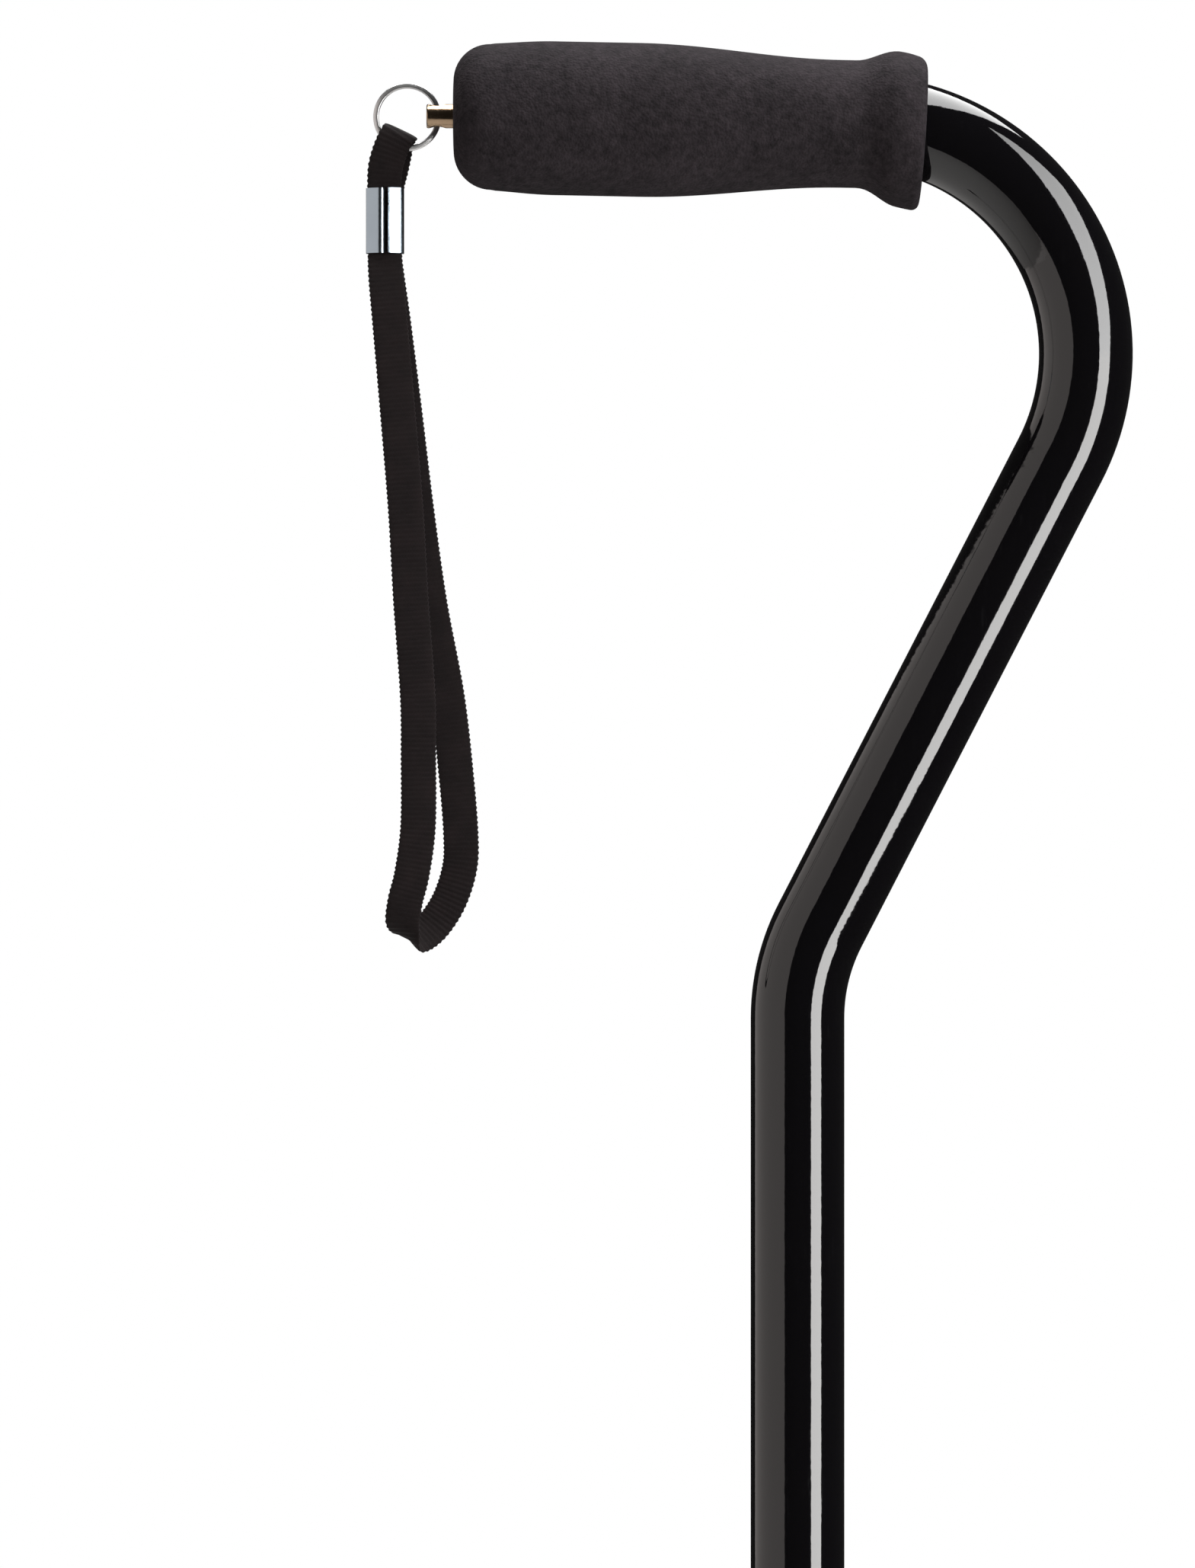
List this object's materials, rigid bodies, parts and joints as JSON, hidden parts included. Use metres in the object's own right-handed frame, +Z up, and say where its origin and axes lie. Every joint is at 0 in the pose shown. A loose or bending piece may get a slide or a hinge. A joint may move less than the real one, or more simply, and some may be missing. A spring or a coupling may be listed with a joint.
{
  "type": "quad walking cane",
  "caption": "Height-adjustable tube walking cane with an offset foam-grip handle, a wrist strap and a four-legged rubber foot.",
  "frame": {"origin": "centre of the foot's flat underside, on the shaft's axis", "axes": "+Z up the shaft, -X the way the handle reaches, -Y the side with the adjustment holes"},
  "size_m": [0.1815, 0.1058, 0.7611],
  "materials": {
    "foot_rubber": "matte",
    "zinc_steel": "satin",
    "leg_black": "gloss",
    "nylon": "matte",
    "spring_steel": "satin",
    "shaft_black": "gloss",
    "black_plastic": "matte",
    "grip_foam": "matte",
    "brass_dark": "satin",
    "nickel": "polished",
    "strap_webbing": "matte"
  },
  "bodies": {
    "foot": {"quad_tip": "foot_rubber", "tip_washer": "zinc_steel", "lower_tube": "leg_black", "glide_plug": "nylon", "button_spring": "spring_steel"},
    "button": {"snap_button": "zinc_steel"},
    "shaft": {"handle_tube": "shaft_black", "shaft_tube": "shaft_black", "thread_sleeve": "black_plastic", "clamp_bush": "nylon", "foam_grip": "grip_foam", "handle_plug": "black_plastic", "eye_nut": "brass_dark", "strap_eye": "brass_dark"},
    "collar": {"lock_collar": "black_plastic"},
    "ring": {"split_ring": "nickel"},
    "strap": {"strap_crimp": "nickel", "wrist_strap": "strap_webbing"}
  },
  "joints": [
    {"name": "height_adjust", "type": "slide", "parent": "foot", "child": "shaft", "axis": [0, 0, 1], "range_m": [0, 0.2286], "deforming": ["snap_button"]},
    {"name": "button_press", "type": "slide", "parent": "foot", "child": "button", "axis": [0, 1, 0], "range_m": [0, 0.004], "stiffness_N_per_m": 800, "springref_m": -0.004, "deforming": ["button_spring"]},
    {"name": "collar_turn", "type": "hinge", "parent": "shaft", "child": "collar", "pos_m": [0, 0, 0.08], "axis": [0, 0, 1], "range_deg": [0, 180]},
    {"name": "ring_swing", "type": "hinge", "parent": "shaft", "child": "ring", "pos_m": [-0.0853, 0, 0.7442], "axis": [0, 0, 1], "range_deg": [-60, 60]},
    {"name": "strap_swing", "type": "hinge", "parent": "ring", "child": "strap", "pos_m": [-0.0955, 0, 0.7374], "axis": [1, 0, 0], "range_deg": [-40, 40], "deforming": ["wrist_strap"]}
  ]
}
